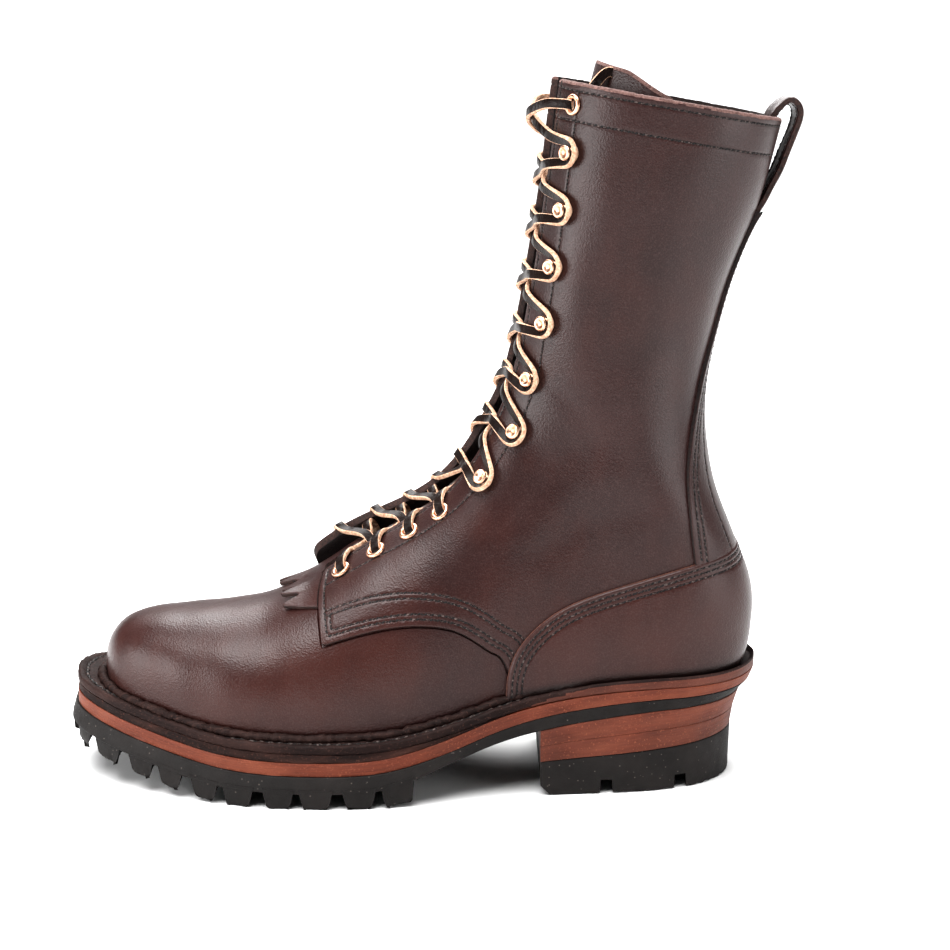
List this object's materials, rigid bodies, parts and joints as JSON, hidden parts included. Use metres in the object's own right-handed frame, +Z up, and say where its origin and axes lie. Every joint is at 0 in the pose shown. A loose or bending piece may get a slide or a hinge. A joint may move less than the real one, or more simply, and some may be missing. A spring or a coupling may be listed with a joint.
{
  "type": "lace-up work boot",
  "caption": "Left lace-up leather work boot with a tall shaft, speed hooks, fringed false tongue, stitched welt, lugged rubber sole and stacked heel.",
  "frame": {"origin": "on the floor, under the middle of the boot's box", "axes": "+Z up from the floor, -X towards the toe, +Y towards the inner side of the foot"},
  "size_m": [0.3288, 0.1198, 0.3208],
  "materials": {
    "leather": "satin oiled leather, dark brown",
    "edge": "dark sole leather edge, stitched",
    "stack": "stained sole leather edge, red-brown",
    "rubber": "matt black-brown rubber",
    "copper": "copper plated",
    "lace": "dark leather lace with a pale flesh side"
  },
  "bodies": {
    "root": {"outsole": "rubber", "heel_top_lift": "rubber", "heel_lift_1": "stack", "heel_lift_2": "stack", "midsole": "stack", "slip_sole": "edge", "welt": "edge", "insole": "edge", "upper": "leather", "counter": "leather", "backstay": "leather", "pull_loop": "leather", "tongue": "leather", "kiltie": "leather", "laces": "lace", "eyelet_outer_1": "copper", "eyelet_outer_2": "copper", "eyelet_outer_3": "copper", "eyelet_outer_4": "copper", "eyelet_outer_5": "copper", "eyelet_inner_1": "copper", "eyelet_inner_2": "copper", "eyelet_inner_3": "copper", "eyelet_inner_4": "copper", "eyelet_inner_5": "copper", "hook_outer_1": "copper", "hook_outer_2": "copper", "hook_outer_3": "copper", "hook_outer_4": "copper", "hook_outer_5": "copper", "hook_outer_6": "copper", "hook_outer_7": "copper", "hook_inner_1": "copper", "hook_inner_2": "copper", "hook_inner_3": "copper", "hook_inner_4": "copper", "hook_inner_5": "copper", "hook_inner_6": "copper", "hook_inner_7": "copper"}
  },
  "joints": []
}
